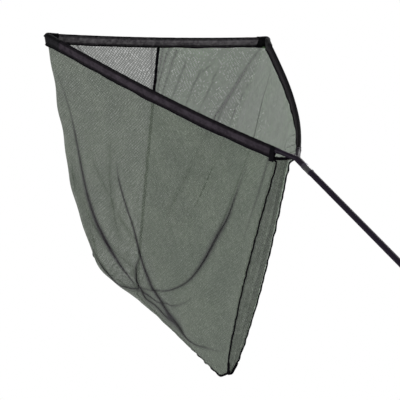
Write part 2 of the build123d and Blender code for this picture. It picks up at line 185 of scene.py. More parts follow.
def tube(name, path, section, material, up=(0, 0, 1), caps=True, scale=None, **how):
    """A closed section, as (side, top) pairs, swept along a path."""
    path = np.asarray(path, float)
    section = np.asarray(section, float)
    _, side, top = frames_along(path, up)
    size = np.ones(len(path)) if scale is None else np.asarray(scale)
    verts = (
        path[:, None]
        + side[:, None] * section[None, :, :1] * size[:, None, None]
        + top[:, None] * section[None, :, 1:] * size[:, None, None]
    )
    count = len(section)
    faces = grid_faces(len(path), count, closed=True)
    if caps:
        faces.append(tuple(range(count)))
        faces.append(tuple(range((len(path) - 1) * count, len(path) * count))[::-1])
    return piece(name, verts, faces, material, **how)


def oval(width, height, count=14):
    a = np.linspace(0, 2 * math.pi, count, endpoint=False)
    return np.stack([np.cos(a) * width / 2, np.sin(a) * height / 2], -1)


# ---- materials -----------------------------------------------------------------------------
class Graph:
    """A material's node tree, with short ways to add and link nodes."""

    def __init__(self, name):
        self.material = bpy.data.materials.new(name)
        self.material.use_nodes = True
        self.tree = self.material.node_tree
        self.tree.nodes.clear()
        self.out = self.tree.nodes.new("ShaderNodeOutputMaterial")
        self.shader = self.tree.nodes.new("ShaderNodeBsdfPrincipled")
        self.link(self.shader.outputs[0], self.out.inputs[0])

    def link(self, source, target):
        self.tree.links.new(source, target)

    def put(self, socket, value):
        if hasattr(value, "links") or hasattr(value, "is_linked"):
            self.link(value, socket)
        else:
            socket.default_value = value

    def node(self, kind, inputs=None, out=0, **settings):
        n = self.tree.nodes.new("ShaderNode" + kind)
        for key, value in settings.items():
            setattr(n, key, value)
        for key, value in (inputs or {}).items():
            self.put(n.inputs[key], value)
        return n.outputs[out]

    def math(self, operation, a, b=0.0, c=0.0):
        return self.node("Math", {0: a, 1: b, 2: c}, operation=operation)

    def noise(self, vector, scale, detail=2.0, rough=0.5):
        return self.node(
            "TexNoise", {"Vector": vector, "Scale": scale, "Detail": detail, "Roughness": rough}
        )

    def ramp(self, value, low, high, to_low=0.0, to_high=1.0):
        return self.node(
            "MapRange",
            {"Value": value, "From Min": low, "From Max": high, "To Min": to_low, "To Max": to_high},
            interpolation_type="SMOOTHSTEP",
        )

    def mix(self, factor, a, b):
        n = self.tree.nodes.new("ShaderNodeMix")
        n.data_type = "RGBA"
        self.put(n.inputs[0], factor)
        self.put(n.inputs[6], a if hasattr(a, "is_linked") else (*a, 1))
        self.put(n.inputs[7], b if hasattr(b, "is_linked") else (*b, 1))
        return n.outputs[2]

    def coords(self):
        return self.node("TexCoord", out=3)

    def cut(self):
        uv = self.node("UVMap", uv_map="cut")
        n = self.tree.nodes.new("ShaderNodeSeparateXYZ")
        self.link(uv, n.inputs[0])
        return n.outputs[0], n.outputs[1]

    def attribute(self, name):
        return self.node("Attribute", attribute_name=name, out=2)

    def bump(self, height, strength, distance):
        n = self.node("Bump", {"Height": height, "Strength": strength, "Distance": distance})
        self.put(self.shader.inputs["Normal"], n)

    def set(self, **values):
        for key, value in values.items():
            socket = self.shader.inputs[key.replace("_", " ")]
            if isinstance(value, tuple) and len(value) == 3:
                value = (*value, 1)
            self.put(socket, value)
        return self


MESH_PITCH = 0.0072
THREAD_COVER = 0.86


def netting_material(name, veil_cover, colours):
    """Diamond mesh of knitted yarn with a fine veil of filaments in its holes, some wide open."""
    g = Graph(name)
    u, v = g.cut()
    # gather_and_shade marks how much netting a fold gathers: it closes holes and thickens the veil, and it
    # also drives painted shade below
    gather_and_shade = g.attribute("gather_and_shade")
    step = MESH_PITCH * math.sqrt(2)
    place = g.coords()
    drift = g.math("MULTIPLY", g.math("SUBTRACT", g.noise(place, 22.0, 2.0), 0.5), 0.016)
    cells = []
    for sign in (1.0, -1.0):
        slant = g.math("MULTIPLY_ADD", v, sign, g.math("MULTIPLY_ADD", drift, sign, u))
        cells.append(g.math("DIVIDE", slant, step))
    near = []
    for cell in cells:
        offset = g.math("SUBTRACT", g.math("FRACT", cell), 0.5)
        near.append(g.math("MULTIPLY", g.math("ABSOLUTE", offset), 2.0))
    distance = g.math("MAXIMUM", near[0], near[1])
    which = g.node("CombineXYZ", {0: g.math("FLOOR", cells[0]), 1: g.math("FLOOR", cells[1])})
    chance = g.node("TexWhiteNoise", {"Vector": which}, noise_dimensions="3D")
    second_chance = g.node("TexWhiteNoise", {"Vector": which, "W": 7.0}, noise_dimensions="4D")
    patches = g.noise(place, 9.0, 3.0)
    closing = g.math("MULTIPLY_ADD", gather_and_shade, -0.75, 1.0)
    size = g.math("MULTIPLY", g.math("MULTIPLY_ADD", chance, 0.20, 0.52), closing)
    cover = g.ramp(g.math("SUBTRACT", distance, size), -0.09, 0.09, 0.0, 1.0)
    open_cell = g.math("MULTIPLY", g.ramp(chance, 0.93, 0.96), closing)
    veil = g.math("MULTIPLY_ADD", open_cell, -0.06, veil_cover)
    veil = g.math("MULTIPLY_ADD", g.math("SUBTRACT", second_chance, 0.5), 0.12, veil)
    veil = g.math("MULTIPLY_ADD", gather_and_shade, 0.45, veil)
    veil = g.math("MULTIPLY_ADD", g.math("SUBTRACT", patches, 0.5), 0.10, veil)
    alpha = g.node("MapRange", {"Value": cover, "To Min": veil, "To Max": THREAD_COVER})
    colour = g.mix(g.ramp(patches, 0.35, 0.7), *colours)
    colour = g.mix(g.math("MULTIPLY", second_chance, 0.45), colour, (0.045, 0.060, 0.042))
    # painted highlight: sparse bright specks of glint are mixed into the thread colour
    painted_glint = g.ramp(g.noise(place, 420.0, 1.0), 0.66, 0.8)
    colour = g.mix(g.math("MULTIPLY", painted_glint, 0.35), colour, (0.30, 0.34, 0.28))
    # painted shade: the netting's colour is darkened towards near black in folds, where the gather-and-shade
    # mask is high
    painted_fold_shade = g.math("MINIMUM", g.math("MULTIPLY", gather_and_shade, 1.15), 1.0)
    colour = g.mix(painted_fold_shade, colour, (0.022, 0.018, 0.025))
    g.set(Base_Color=colour, Alpha=alpha, Roughness=0.75, Specular_IOR_Level=0.08)
    g.set(Sheen_Weight=0.1, Sheen_Roughness=0.5)
    thread = g.math("MULTIPLY", cover, g.math("SUBTRACT", 1.6, distance))
    g.bump(g.math("MULTIPLY_ADD", g.noise(place, 900.0, 1.0), 0.3, thread), 0.35, 0.0006)
    g.material.surface_render_method = "DITHERED"
    return g.material


def cloth_material(name, colour, dark, weave=0.0011, strength=0.5, sheen=0.12, rough=0.85):
    """Plain-woven polyester: over and under threads, small patches of wear, darker over the top and towards
    the lower edge.
    """
    g = Graph(name)
    u, v = g.cut()
    warp = g.math("SINE", g.math("MULTIPLY", u, 2 * math.pi / weave))
    weft = g.math("SINE", g.math("MULTIPLY", v, 2 * math.pi / weave))
    over = g.math("MULTIPLY", warp, weft)
    place = g.coords()
    mottle = g.noise(place, 60.0, 4.0, 0.65)
    broad = g.noise(place, 11.0, 2.0)
    edge = g.attribute("edge")
    tone = g.mix(g.ramp(mottle, 0.36, 0.66), dark, colour)
    worn = g.math("MULTIPLY", g.ramp(broad, 0.45, 0.75), 0.35)
    tone = g.mix(worn, tone, tuple(c * 1.5 for c in colour))
    # darker over the rod's top and towards the lower edge, where the edge attribute is high
    tone = g.mix(edge, tone, tuple(c * 0.2 for c in dark))
    g.set(Base_Color=tone, Specular_IOR_Level=0.05, Sheen_Weight=sheen, Sheen_Roughness=0.4)
    g.put(g.shader.inputs["Roughness"], g.ramp(mottle, 0.3, 0.7, rough - 0.08, rough + 0.08))
    relief = g.math("MULTIPLY_ADD", mottle, 0.5, g.math("MULTIPLY", over, 0.5))
    g.bump(relief, strength, 0.0004)
    return g.material


def tape_material(name, colour):
    """Ribbed black binding tape."""
    g = Graph(name)
    place = g.coords()
    ribs = g.node("TexWave", {"Vector": place, "Scale": 420.0, "Distortion": 2.0}, out=1)
    worn = g.noise(place, 90.0, 3.0)
    tone = g.mix(g.ramp(worn, 0.45, 0.8), colour, tuple(c * 2.2 for c in colour))
    g.set(Base_Color=tone, Roughness=0.85, Specular_IOR_Level=0.03)
    g.bump(g.math("MULTIPLY_ADD", worn, 0.4, ribs), 0.5, 0.0004)
    return g.material


def hard_material(name, colour, rough, worn, spec=0.5, coat=0.0, metal=0.0, grain=700.0, bump=0.15):
    """Moulded, lacquered or metal surface with fine grain, scuffs and uneven gloss."""
    g = Graph(name)
    place = g.coords()
    scuff = g.noise(place, 120.0, 5.0, 0.7)
    fine = g.noise(place, grain, 2.0)
    tone = g.mix(g.ramp(scuff, 0.55, 0.8), colour, worn)
    g.set(Base_Color=tone, Metallic=metal, Specular_IOR_Level=spec, Coat_Weight=coat, Coat_Roughness=0.12)
    g.put(g.shader.inputs["Roughness"], g.ramp(scuff, 0.3, 0.75, rough * 0.8, rough * 1.3))
    g.bump(fine, bump, 0.0003)
    return g.material


NETTING = netting_material("netting", 0.62, ((0.100, 0.118, 0.094), (0.126, 0.146, 0.116)))
# painted light: the gusset's netting is a lighter copy of the same netting, standing in for the light on it
NETTING_GUSSET_PAINTED_LIGHTER = netting_material("netting_gusset_painted_lighter", 0.55, ((0.165, 0.192, 0.155), (0.205, 0.235, 0.190)))
# painted light: the right half's netting is a greener copy of the same netting, tinted for how the far half
# is lit
NETTING_RIGHT_PAINTED_TINT = netting_material("netting_right", 0.78, ((0.070, 0.140, 0.056), (0.092, 0.172, 0.074)))
SLEEVE = cloth_material("sleeve_cloth", (0.037, 0.030, 0.038), (0.018, 0.014, 0.019), sheen=0.05)
FRONT_SLEEVE = cloth_material("front_sleeve_cloth", (0.205, 0.190, 0.205), (0.080, 0.072, 0.082), sheen=0.06)
CORNER = cloth_material("corner_cloth", (0.010, 0.009, 0.011), (0.004, 0.004, 0.005), weave=0.0016)
TAPE = tape_material("binding_tape", (0.004, 0.0035, 0.005))
THREAD = tape_material("stitching", (0.012, 0.011, 0.013))
TUBE = hard_material("carbon_tube", (0.008, 0.005, 0.012), 0.50, (0.016, 0.012, 0.024), spec=0.08, coat=0.0)
GLOSS = hard_material("gloss_black", (0.006, 0.005, 0.008), 0.18, (0.02, 0.02, 0.022), coat=0.5)
RUBBER = hard_material("rubber", (0.012, 0.012, 0.013), 0.75, (0.03, 0.03, 0.03), spec=0.25, bump=0.4)
FOAM = hard_material("foam", (0.016, 0.016, 0.018), 0.9, (0.034, 0.034, 0.036), spec=0.15, bump=0.8)
METAL = hard_material("collar_metal", (0.085, 0.078, 0.100), 0.30, (0.22, 0.21, 0.24), metal=1.0)
STEEL = hard_material("steel", (0.5, 0.5, 0.52), 0.25, (0.65, 0.65, 0.66), metal=1.0)
BLOCK = hard_material("block_plastic", (0.007, 0.004, 0.010), 0.45, (0.026, 0.018, 0.038), spec=0.10)
ROD = hard_material("fibreglass", (0.02, 0.016, 0.028), 0.25, (0.05, 0.045, 0.06), coat=0.4)
CORD = tape_material("cord", (0.012, 0.012, 0.013))

CAD_FINISH = {
    "carbon_tube": TUBE,
    "gloss_black": GLOSS,
    "rubber": RUBBER,
    "foam": FOAM,
    "collar_metal": METAL,
    "steel": STEEL,
    "block_plastic": BLOCK,
    "fibreglass": ROD,
    "cord": CORD,
    "netting": NETTING,
    "sleeve_cloth": SLEEVE,
    "corner_cloth": CORNER,
    "binding_tape": TAPE,
}
for part in frame["record"]["subparts"]:
    node = frame["nodes"][part["node"]]
    node.data.materials.clear()
    node.data.materials.append(CAD_FINISH[part["material_slot"]])

# ---- the bag's lines -----------------------------------------------------------------------
KNOT = (0.787, -0.873)
FRONT_LOW = (0.786, -0.908)
REAR_LOW = (0.132, -0.832)
REAR_CORNER = (0.087, -0.785)
FRONT_SHARE = 0.045
TIP_SHARE = 0.709
CORNER_BULGE = (0.0037, 0.0174)
LOBE_AT = 0.7465
LOBE_REACH = 0.085
LOBE_DEPTH = 0.783
LOBE_DROP = 0.0148
# Half of the gusset's width at shares of the way down to the rear corner.
GUSSET_WIDTHS = (
    (0.00, 0.0225), (0.07, 0.0225), (0.16, 0.0260), (0.28, 0.0295),
    (0.42, 0.0315), (0.55, 0.0325), (0.66, 0.0315), (0.76, 0.0275),
    (0.86, 0.0240), (0.93, 0.0190), (0.98, 0.0110), (1.02, 0.0035),
    (1.06, 0.0),
)


def rounded_line(corners, setback, count=1200):
    """Evenly spaced points along a polyline whose corners are rounded off."""
    corners = [np.array(c, float) for c in corners]
    points = [corners[0]]
    for before, here, after in zip(corners, corners[1:], corners[2:]):
        a = here + (before - here) / np.linalg.norm(before - here) * setback
        b = here + (after - here) / np.linalg.norm(after - here) * setback
        for t in np.linspace(0, 1, 12):
            points.append(a * (1 - t) ** 2 + here * 2 * t * (1 - t) + b * t * t)
    points.append(corners[-1])
    points = np.array(points)
    run = np.concatenate([[0], np.cumsum(np.linalg.norm(np.diff(points, axis=0), axis=1))])
    even = np.linspace(0, run[-1], count)
    return np.stack([np.interp(even, run, points[:, k]) for k in (0, 1)], -1)


BOTTOM = rounded_line([KNOT, FRONT_LOW, REAR_LOW, REAR_CORNER], 0.02)


def bottom_at(share):
    """Points of the bottom line, from the knot (0) to the rear corner (1): x, z."""
    at = np.asarray(share) * (len(BOTTOM) - 1)
    index = np.arange(len(BOTTOM))
    return np.interp(at, index, BOTTOM[:, 0]), np.interp(at, index, BOTTOM[:, 1])


def half_width(z):
    """Half of the rear gusset's width at heights z."""
    down = (z - NET_TOP) / (REAR_CORNER[1] - NET_TOP)
    return np.interp(down, *zip(*GUSSET_WIDTHS))


ARM_RUN = ARM_LENGTH - NET_CORNER_GAP - (SLEEVE_START + NET_SETBACK)
CORD_RUN = TIP_Y - NET_CORNER_GAP
TOP_RUN = ARM_RUN + CORD_RUN
COLUMNS = 300
ROWS = 226


def smooth_rows(values, sigma):
    """Values blurred along the rows, by sigma columns given for each row."""
    out = values.copy()
    count = values.shape[1]
    reach = np.arange(-30, 31)
    for i, s in enumerate(sigma):
        if s < 0.3:
            continue
        kernel = np.exp(-0.5 * (reach / s) ** 2)
        kernel /= kernel.sum()
        padded = np.pad(values[i], ((30, 30), (0, 0)), mode="reflect", reflect_type="odd")
        for k in range(values.shape[2]):
            out[i, :, k] = np.convolve(padded[:, k], kernel, mode="valid")[:count]
    return out


def base_half():
    """The left half of the bag as it hangs, rows from the rim down, columns from rear to front."""
    run = np.linspace(0, TOP_RUN, COLUMNS)
    side = run <= ARM_RUN
    along = np.clip(run / ARM_RUN, 0, 1)
    front = np.clip((run - ARM_RUN) / CORD_RUN, 0, 1)
    x, y, _ = arm_at(mix(SLEEVE_START + NET_SETBACK, ARM_LENGTH - NET_CORNER_GAP, along))
    y = np.where(side, y, TIP_Y - NET_CORNER_GAP - front * CORD_RUN)
    x = np.where(side, x, TIP_X)
    top = rim(x, y, NET_EDGE + np.where(side, 0, cord_height(y)))
    bottom_share = np.where(side, mix(1.0, FRONT_SHARE, along), FRONT_SHARE * (1 - front))
    bx, bz = bottom_at(bottom_share)
    bottom = np.stack([APEX_X + bx, np.zeros_like(bx), bz], -1)
    upper_share = np.stack([0.28 + 0 * front, 0.225 + 0 * front, mix(0.36, 0.31, front)], -1)
    lobe = np.exp(-(((run / TOP_RUN - LOBE_AT) / LOBE_REACH) ** 2))
    lower_share = np.stack(
        [mix(0.43, 0.72, front), 0.575 - 0.022 * lobe, mix(0.963, 0.77, front) + 0.01 * lobe], -1
    )
    upper = top + (bottom - top) * upper_share
    lower = top + (bottom - top) * lower_share
    t = np.linspace(0, 1, ROWS)[:, None, None]
    hang = top * (1 - t) ** 3 + 3 * upper * t * (1 - t) ** 2 + 3 * lower * t * t * (1 - t) + bottom * t**3
    near_rear = np.where(side, (1 - along) ** 6, 0)[None] * smooth(t[..., 0] / 0.025)
    hang[..., 1] = mix(hang[..., 1], half_width(hang[..., 2]), near_rear)
    down = np.linspace(0, 1, ROWS)
    hang = smooth_rows(hang, 0.5 + 5.0 * smooth(down / 0.3) * smooth((1 - down) / 0.12))
    share = (run / TOP_RUN)[None]
    corner = np.exp(-(((share - TIP_SHARE) / 0.10) ** 2)) * np.sin(math.pi * down[:, None] ** 1.15) ** 0.8
    hang[..., 0] += CORNER_BULGE[0] * corner
    hang[..., 1] += CORNER_BULGE[1] * corner
    low = np.exp(-(((share - LOBE_AT) / LOBE_REACH) ** 2) - ((down[:, None] - LOBE_DEPTH) / 0.09) ** 2)
    low = low * smooth((1 - down[:, None]) / 0.06)
    hang[..., 1] += 0.3 * LOBE_DROP * low
    hang[..., 2] -= LOBE_DROP * low
    return hang


def normals_of(points):
    across = np.gradient(points, axis=1)
    down = np.gradient(points, axis=0)
    normal = np.cross(down, across)
    return normal / np.maximum(np.linalg.norm(normal, axis=2, keepdims=True), 1e-9)


def on_grid(points, run, down):
    """Positions at shares along the rim and down a column."""
    i = np.clip(np.asarray(down) * (ROWS - 1), 0, ROWS - 1.001)
    j = np.clip(np.asarray(run) * (COLUMNS - 1), 0, COLUMNS - 1.001)
    a, b = i.astype(int), j.astype(int)
    f, g = (i - a)[:, None], (j - b)[:, None]
    return (
        points[a, b] * (1 - f) * (1 - g)
        + points[a + 1, b] * f * (1 - g)
        + points[a, b + 1] * (1 - f) * g
        + points[a + 1, b + 1] * f * g
    )


def curve_through(points, count=80):
    """A smooth curve through rows of numbers."""
    points = np.asarray(points, float)
    padded = np.vstack([2 * points[0] - points[1], points, 2 * points[-1] - points[-2]])
    out = []
    spans = len(points) - 1
    for t in np.linspace(0, spans, count):
        i = min(int(t), spans - 1)
        f = t - i
        p0, p1, p2, p3 = padded[i : i + 4]
        out.append(
            0.5
            * (
                2 * p1
                + (p2 - p0) * f
                + (2 * p0 - 5 * p1 + 4 * p2 - p3) * f**2
                + (3 * p1 - p0 - 3 * p2 + p3) * f**3
            )
        )
    return np.array(out)


def pleat(points, gather_and_shade, base, normal, stations):
    """Folds the sheet over itself along a line.
    A station is (share along the rim, share down, width of the cloth taken in, how dense)."""
    line = curve_through(stations, 160)
    path = on_grid(base, line[:, 0], line[:, 1])
    tangent = np.gradient(path, axis=0)
    tangent /= np.linalg.norm(tangent, axis=1, keepdims=True)
    flat = base.reshape(-1, 3)
    best = np.full(len(flat), 1e9)
    nearest = np.zeros(len(flat), int)
    for k, p in enumerate(path):
        d = ((flat - p) ** 2).sum(1)
        closer = d < best
        best[closer] = d[closer]
        nearest[closer] = k
    away = flat - path[nearest]
    n = normal.reshape(-1, 3)
    cross = np.cross(tangent[nearest], n)
    cross /= np.maximum(np.linalg.norm(cross, axis=1, keepdims=True), 1e-9)
    signed = (away * cross).sum(1)
    past = np.abs((away * tangent[nearest]).sum(1))
    width = np.maximum(line[nearest, 2], 1e-4)
    dense = line[nearest, 3]
    end = np.where((nearest == 0) | (nearest == len(path) - 1), np.exp(-((past / 0.02) ** 2)), 1.0)
    x = signed / width
    inside = np.abs(x) < 1
    shift = np.where(inside, -0.62 * width * np.sin(math.pi * np.clip(x, -1, 1)), 0)
    rise = np.where(x < 1, smooth((x + 1) / 2), 1 - smooth((x - 1) / 5)) * np.where(x > -1, 1, 0)
    strength = np.clip(dense, 0, 1.5) * end
    lift = rise * width * 0.45 * strength
    moved = cross * (shift * np.minimum(strength, 1))[:, None] + n * lift[:, None]
    points += moved.reshape(points.shape)
    # the fold's thickness goes into the gather-and-shade mask, which closes holes and also paints shade along
    # the fold
    thick = np.exp(-((x / 0.75) ** 2)) * strength
    gather_and_shade[:] = np.maximum(gather_and_shade, np.clip(thick, 0, 1).reshape(gather_and_shade.shape))


def half_of_bag(side):
    """The left (+1) or right (-1) half of the bag and its gather values, which also mark where shade is
    painted in folds.
    """
    base = base_half()
    normal = normals_of(base)
    rows = np.linspace(0, 1, ROWS)[:, None]
    columns = np.linspace(0, 1, COLUMNS)[None]
    points = base.copy()
    gather_and_shade = np.zeros((ROWS, COLUMNS))
    seed = 11 if side > 0 else 23
    x, y, z = base[..., 0], base[..., 1], base[..., 2]
    free = smooth(rows / 0.06) * smooth((1 - rows) / 0.03)
    free = free * smooth(columns / 0.02) * smooth((1 - columns) / 0.02)
    slack = ripple(seed, x, y, z, scale=0.34) * 0.006 + ripple(seed + 1, x, y, z * 0.4, scale=0.11) * 0.0022
    points += normal * (slack * free)[..., None]
    for stations in FOLDS[side]:
        pleat(points, gather_and_shade, base, normal, stations)
    # netting bunched low at the front towards the knot: gathered, and painted darker with shade
    bunched_and_shaded = smooth((columns - 0.66) / 0.06) * smooth((rows - 0.90) / 0.10)
    gather_and_shade = np.maximum(gather_and_shade, 0.75 * bunched_and_shaded + 0 * gather_and_shade)
    points[..., 1] = np.maximum(points[..., 1], 0.0)
    return points, gather_and_shade


# Each fold runs from the rim down: share along the rim, share down, cloth taken in, how dense.
FOLDS = {
    1: [
        [
            (0.690, 0.09, 0.004, 0.3), (0.662, 0.16, 0.005, 0.5), (0.645, 0.25, 0.006, 0.8),
            (0.641, 0.36, 0.008, 1.1), (0.636, 0.46, 0.010, 1.3), (0.622, 0.56, 0.012, 1.4),
            (0.598, 0.63, 0.012, 1.4), (0.562, 0.69, 0.010, 1.3), (0.535, 0.745, 0.007, 0.9),
        ],
        [
            (0.492, 0.28, 0.004, 0.2), (0.484, 0.35, 0.006, 0.9), (0.455, 0.44, 0.007, 1.1),
            (0.430, 0.55, 0.008, 1.2), (0.415, 0.62, 0.010, 1.3), (0.398, 0.69, 0.013, 1.3),
            (0.365, 0.77, 0.017, 1.3), (0.294, 0.83, 0.013, 1.2), (0.235, 0.855, 0.008, 1.1),
            (0.150, 0.815, 0.006, 0.7), (0.06, 0.765, 0.004, 0.2),
        ],
        [
            (0.085, 0.08, 0.004, 0.1), (0.094, 0.15, 0.005, 0.5), (0.104, 0.22, 0.007, 0.9),
            (0.117, 0.285, 0.010, 1.2), (0.136, 0.35, 0.012, 1.3), (0.157, 0.415, 0.011, 1.3),
            (0.184, 0.485, 0.009, 1.2), (0.214, 0.54, 0.008, 1.1), (0.260, 0.595, 0.006, 1.0),
            (0.330, 0.655, 0.005, 0.9), (0.425, 0.715, 0.006, 1.0), (0.490, 0.755, 0.007, 1.0),
        ],
        [
            (0.495, 0.782, 0.007, 1.1), (0.408, 0.766, 0.007, 1.1), (0.338, 0.729, 0.006, 1.0),
            (0.274, 0.684, 0.005, 0.7), (0.227, 0.636, 0.004, 0.4), (0.184, 0.578, 0.003, 0.1),
        ],
        [(0.030, 0.01, 0.005, 0.6), (0.036, 0.14, 0.005, 0.5), (0.044, 0.30, 0.004, 0.25)],
        [
            (0.430, 0.58, 0.004, 0.5), (0.468, 0.64, 0.009, 0.9), (0.490, 0.70, 0.012, 1.0),
            (0.512, 0.77, 0.009, 0.9),
        ],
        [
            (0.689, 0.68, 0.005, 0.5), (0.679, 0.742, 0.007, 0.9), (0.669, 0.791, 0.008, 1.0),
            (0.659, 0.849, 0.008, 1.0), (0.592, 0.831, 0.008, 1.0), (0.512, 0.769, 0.007, 0.9),
        ],
        [
            (0.505, 0.769, 0.010, 0.8), (0.478, 0.804, 0.015, 0.9), (0.418, 0.809, 0.017, 0.9),
            (0.358, 0.813, 0.017, 0.9), (0.294, 0.836, 0.013, 0.8),
        ],
    ],
    -1: [
        [
            (0.600, 0.02, 0.005, 0.4), (0.562, 0.11, 0.006, 0.9), (0.535, 0.17, 0.007, 1.0),
            (0.508, 0.26, 0.008, 1.0), (0.485, 0.35, 0.010, 1.0), (0.477, 0.47, 0.012, 1.0),
            (0.485, 0.60, 0.012, 1.0), (0.505, 0.73, 0.009, 1.0), (0.560, 0.82, 0.008, 1.0),
            (0.625, 0.89, 0.008, 1.0), (0.700, 0.945, 0.010, 1.0),
        ],
        [
            (0.722, 0.01, 0.005, 0.5), (0.742, 0.08, 0.006, 0.8), (0.766, 0.20, 0.006, 0.7),
            (0.785, 0.40, 0.005, 0.3),
        ],
        [(0.018, 0.01, 0.006, 0.8), (0.020, 0.15, 0.006, 0.7), (0.026, 0.34, 0.004, 0.3)],
        [(0.046, 0.01, 0.005, 0.8), (0.046, 0.15, 0.005, 0.7), (0.052, 0.34, 0.004, 0.3)],
        [(0.085, 0.01, 0.005, 0.7), (0.083, 0.15, 0.005, 0.6), (0.086, 0.30, 0.004, 0.3)],
        [(0.145, 0.01, 0.005, 0.6), (0.140, 0.13, 0.005, 0.5), (0.138, 0.28, 0.004, 0.2)],
        [(0.240, 0.01, 0.005, 0.5), (0.232, 0.12, 0.005, 0.5), (0.228, 0.27, 0.004, 0.2)],
        [(0.360, 0.01, 0.005, 0.5), (0.345, 0.12, 0.005, 0.4), (0.335, 0.27, 0.004, 0.15)],
    ],
}


def make_bag():
    made = {}
    for side, word in ((1, "left"), (-1, "right")):
        points, gather_and_shade = half_of_bag(side)
        points[..., 1] *= side
        uv = arc_uv(points)
        made[word] = piece(
            f"netting_{word}",
            points,
            grid_faces(ROWS, COLUMNS, flip=side < 0),
            NETTING if side > 0 else NETTING_RIGHT_PAINTED_TINT,
            replaces=(f"netting_side_{word}", f"netting_front_{word}"),
            uv=uv,
            attributes={"gather_and_shade": gather_and_shade},
            slot="netting",
        )
    return made


bag = make_bag()


# ---- sleeves, pockets and bindings ---------------------------------------------------------
RIM_UP = np.array([math.sin(DROOP), 0.0, math.cos(DROOP)])


def arm_path(start, end, side, step=0.004, lift=0.0):
    """Points along an arm between two distances from the apex."""
    x, y, _ = arm_at(np.linspace(start, end, max(2, int(round((end - start) / step)) + 1)))
    return rim(x, y * side, np.full_like(x, lift))


def cord_path(start, end, step=0.004, lift=0.0):
    """Points along the front cord from one y to another."""
    y = np.linspace(start, end, max(2, int(round(abs(end - start) / step)) + 1))
    return rim(np.full_like(y, TIP_X), y, cord_height(y) + lift)


# Half of a sleeve's thickness at shares of the way down from the rod to its hem.
SLEEVE_WIDTHS = (
    (0.30, 0.0056), (0.45, 0.0040), (0.60, 0.0029), (0.75, 0.0021), (0.88, 0.0016), (1.00, 0.0013),
)
ARM_SLEEVE_DROP = 0.0262
CORD_SLEEVE_DROP = 0.0232
SLEEVE_END_DROP = 0.0395
POCKET_DROP = 0.0280
POCKET_SPREAD = 0.12
POCKET_ALONG_ARM = 0.066
POCKET_ALONG_CORD = 0.036
CORD_SLEEVE_START = 0.030
HEM_LENGTH = 0.008


def sleeve_profile(drop, growth=0.0):
    """One cloth folded over a rod, from one lower edge over the top to the other: side, height."""
    r = 0.0070 + growth
    angle = np.radians(np.linspace(90, -20, 9))
    half = [(r * math.cos(a), r * math.sin(a)) for a in angle]
    for share, width in SLEEVE_WIDTHS:
        half.append((width + growth * (1 - share * 0.6), -drop * share))
    half = np.array(half)
    return np.concatenate([half[:0:-1] * (-1, 1), half])


def wrapped(name, path, drop, material, seed, growth=0.0, slack=1.0, taper=None, **how):
    """A sleeve of cloth folded over a rod along a path, with slack and small puckers."""
    profile = sleeve_profile(drop, growth)
    _, side, top = frames_along(path, RIM_UP)
    run = np.concatenate([[0], np.cumsum(np.linalg.norm(np.diff(path, axis=0), axis=1))])
    depth = smooth(-profile[:, 1] / drop)[None]
    along = run[:, None] + 0 * depth
    across = profile[None, :, 0] + 0 * along
    height = profile[None, :, 1] + 0 * along
    size = 1.0 if taper is None else np.asarray(taper)[:, None]
    meander = ripple(seed, along, scale=0.23) * 0.0022 * depth**2
    sag = ripple(seed + 1, along, scale=0.15) * 0.0011 * depth
    which = np.sign(profile[:, 0])[None]
    pucker = ripple(seed + 2, along, height * 0.5, which * 0.3 + 0 * along, scale=0.021) * 0.00045
    crease = ripple(seed + 3, along, height, which * 0.2 + 0 * along, scale=0.07) * 0.0010
    belly = np.sin(math.pi * depth) * (0.0006 + crease) + pucker * (0.3 + depth)
    across = across * size + slack * (meander + which * belly)
    height = height * size + slack * sag
    verts = path[:, None] + side[:, None] * across[..., None] + top[:, None] * height[..., None]
    # the edge attribute: high over the top of the rod and over the lowest third of the cloth
    dark_top_and_hem = np.maximum(smooth((-height / drop - 0.67) / 0.12), smooth((height + 0.001) / 0.004))
    obj = piece(
        name,
        verts,
        grid_faces(len(path), len(profile)),
        material,
        uv=arc_uv(verts),
        attributes={"edge": dark_top_and_hem * (0.85 + 0.15 * ripple(seed + 4, along, scale=0.02))},
        **how,
    )
    lower = path + side * meander[:, -1:] * slack - top * (drop - slack * sag[:, -1:])
    return obj, lower, side, top


def stitches(name, path, out, pitch=0.0045, length=0.0030, thick=0.0005, material=None, **how):
    """A row of thread stitches lying on cloth along a path; out points away from the cloth."""
    run = np.concatenate([[0], np.cumsum(np.linalg.norm(np.diff(path, axis=0), axis=1))])
    count = int(run[-1] / pitch)
    verts, faces = [], []
    tangent = np.gradient(path, axis=0)
    tangent /= np.linalg.norm(tangent, axis=1, keepdims=True)
    for i in range(count):
        at = (i + 0.5) * pitch
        pick = [np.interp(at, run, column) for column in np.hstack([path, tangent, out]).T]
        p, t, o = np.array(pick[:3]), np.array(pick[3:6]), np.array(pick[6:])
        s = np.cross(t, o)
        first = len(verts)
        for share, size in ((-0.5, 0.35), (-0.2, 1.0), (0.2, 1.0), (0.5, 0.35)):
            middle = p + t * length * share + o * thick * 0.5 * size
            for a in range(5):
                turn = 2 * math.pi * a / 5
                verts.append(middle + (s * math.cos(turn) + o * math.sin(turn) * 0.7) * thick * size)
        for ring in range(3):
            for a in range(5):
                b = (a + 1) % 5
                lowest = first + ring * 5
                faces.append((lowest + a, lowest + b, lowest + b + 5, lowest + a + 5))
        faces.append(tuple(first + a for a in range(5))[::-1])
        faces.append(tuple(first + 15 + a for a in range(5)))
    return piece(name, verts, faces, material or THREAD, **how)


